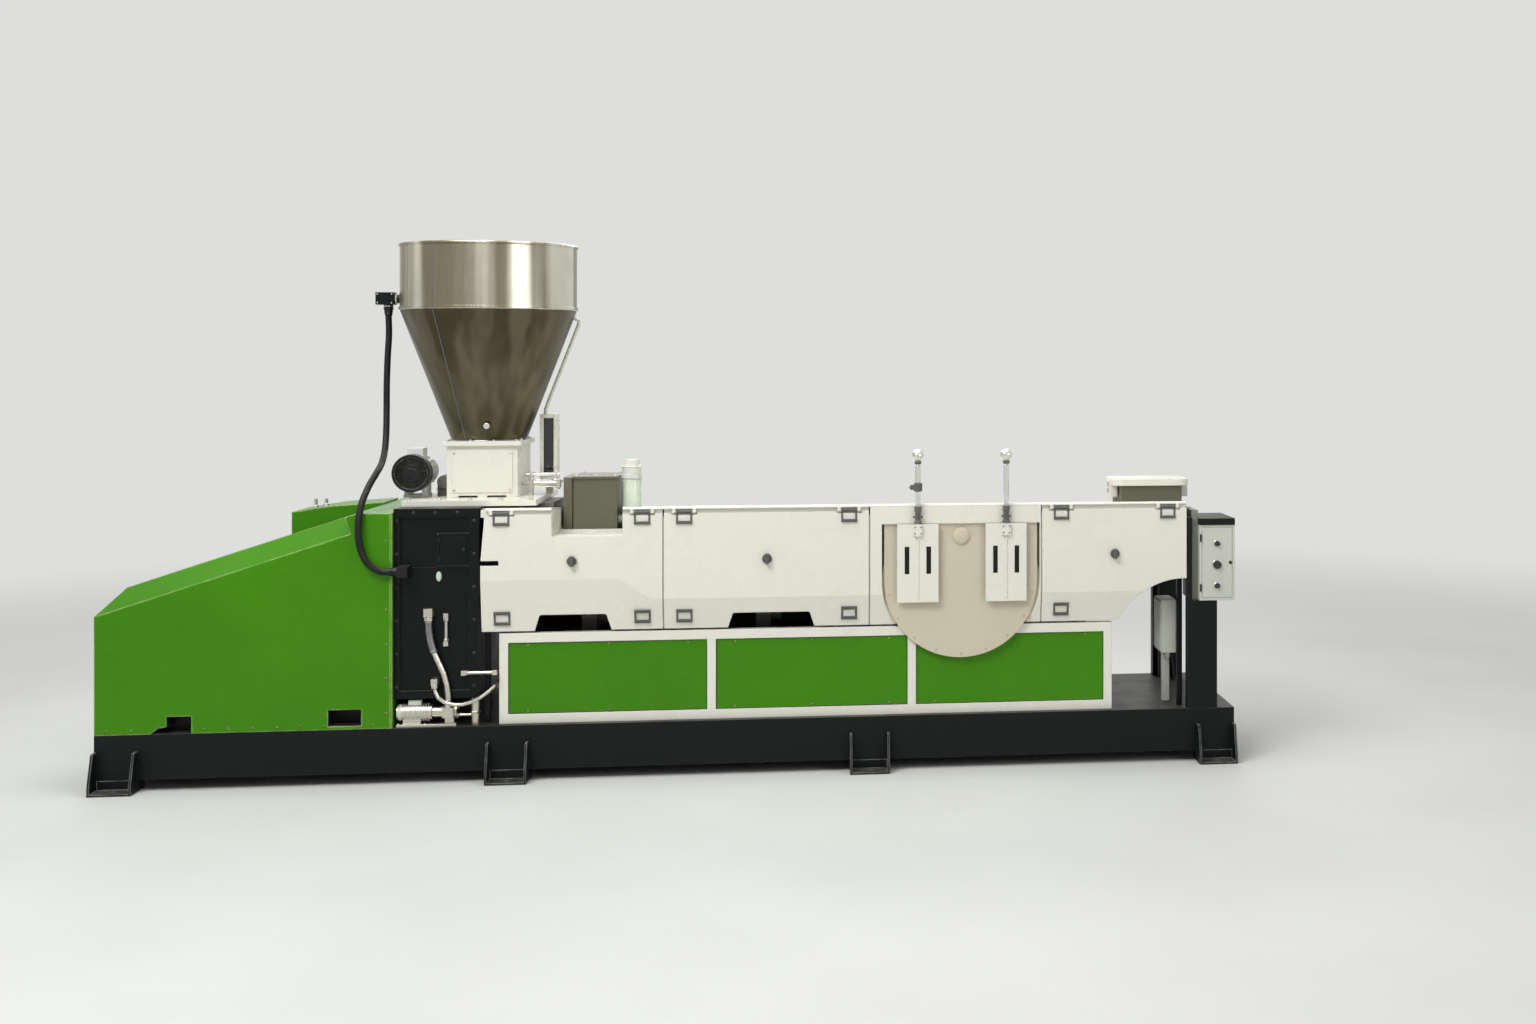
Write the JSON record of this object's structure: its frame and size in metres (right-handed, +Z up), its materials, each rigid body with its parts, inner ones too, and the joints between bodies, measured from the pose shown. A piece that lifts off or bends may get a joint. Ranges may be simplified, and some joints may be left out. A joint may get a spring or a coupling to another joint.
{
  "type": "plastic extruder",
  "caption": "Plastic extruder with motor hood, gearbox, hopper, guarded barrel, filter with lifting slide plates and outlet flange.",
  "frame": {"origin": "centre of the machine's footprint, on the floor", "axes": "+X along the machine from the motor hood to the outlet, +Z up, -Y towards the operator's side"},
  "size_m": [5.9, 1.234, 2.82],
  "materials": {
    "base_paint": "near-black satin paint",
    "green_paint": "satin green paint",
    "black_paint": "black satin paint",
    "fittings": "bare zinc-plated steel",
    "white_paint": "warm white satin paint",
    "casting": "grey casting",
    "stainless": "brushed stainless sheet",
    "pale_grey": "pale grey paint",
    "steel": "machined steel",
    "heater_sheet": "dull heater sheet",
    "black_steel": "blackened steel",
    "beige_paint": "warm beige paint",
    "olive_paint": "olive grey paint",
    "grey_paint": "light grey paint",
    "button_plastic": "black plastic",
    "cable_rubber": "black rubber sheath"
  },
  "bodies": {
    "machine": {"base_rails": "base_paint", "base_deck": "base_paint", "foot_brackets": "base_paint", "motor_hood": "green_paint", "hood_vent_box": "green_paint", "gearbox_cover": "black_paint", "oil_pump": "fittings", "top_plate": "white_paint", "feed_casting": "casting", "feed_box": "white_paint", "hopper_cone": "stainless", "hopper_cylinder": "stainless", "hopper_sensor": "fittings", "feeder_motor": "pale_grey", "feeder_gear": "casting", "gate_cylinder": "fittings", "sight_gauge": "white_paint", "barrel": "steel", "heater_bands": "heater_sheet", "blowers": "pale_grey", "barrel_supports": "black_paint", "guard_roof": "white_paint", "guard_posts": "black_paint", "rear_guard": "white_paint", "side_frames": "white_paint", "front_panels": "green_paint", "rear_panels": "green_paint", "filter_body": "steel", "filter_frame": "white_paint", "filter_cover": "beige_paint", "guide_studs": "black_steel", "vent_box": "olive_paint", "vent_trap": "pale_grey", "melt_pipe": "steel", "outlet_flange": "steel", "end_posts": "base_paint", "control_box": "grey_paint", "control_buttons": "button_plastic", "control_column": "olive_paint", "cap_box": "olive_paint", "cap_lid": "white_paint", "junction_box": "grey_paint", "cable_gland": "button_plastic", "sensor_cable": "cable_rubber"},
    "door_1": {"guard_door_1": "white_paint", "door_fittings_1": "black_steel"},
    "door_2": {"guard_door_2": "white_paint", "door_fittings_2": "black_steel"},
    "door_3": {"guard_door_3": "white_paint", "door_fittings_3": "black_steel"},
    "slide_left": {"slide_plate_left": "white_paint"},
    "slide_right": {"slide_plate_right": "white_paint"}
  },
  "joints": [
    {"name": "door_1_hinge", "type": "hinge", "parent": "machine", "child": "door_1", "pos_m": [-0.5903, -0.5225, 1.392], "axis": [-1, 0, 0], "range_deg": [0, 90]},
    {"name": "door_2_hinge", "type": "hinge", "parent": "machine", "child": "door_2", "pos_m": [0.419, -0.5225, 1.392], "axis": [-1, 0, 0], "range_deg": [0, 90]},
    {"name": "door_3_hinge", "type": "hinge", "parent": "machine", "child": "door_3", "pos_m": [2.2873, -0.5225, 1.392], "axis": [-1, 0, 0], "range_deg": [0, 90]},
    {"name": "slide_left_lift", "type": "slide", "parent": "machine", "child": "slide_left", "axis": [0, 0, 1], "range_m": [0, 0.11]},
    {"name": "slide_right_lift", "type": "slide", "parent": "machine", "child": "slide_right", "axis": [0, 0, 1], "range_m": [0, 0.11]}
  ]
}
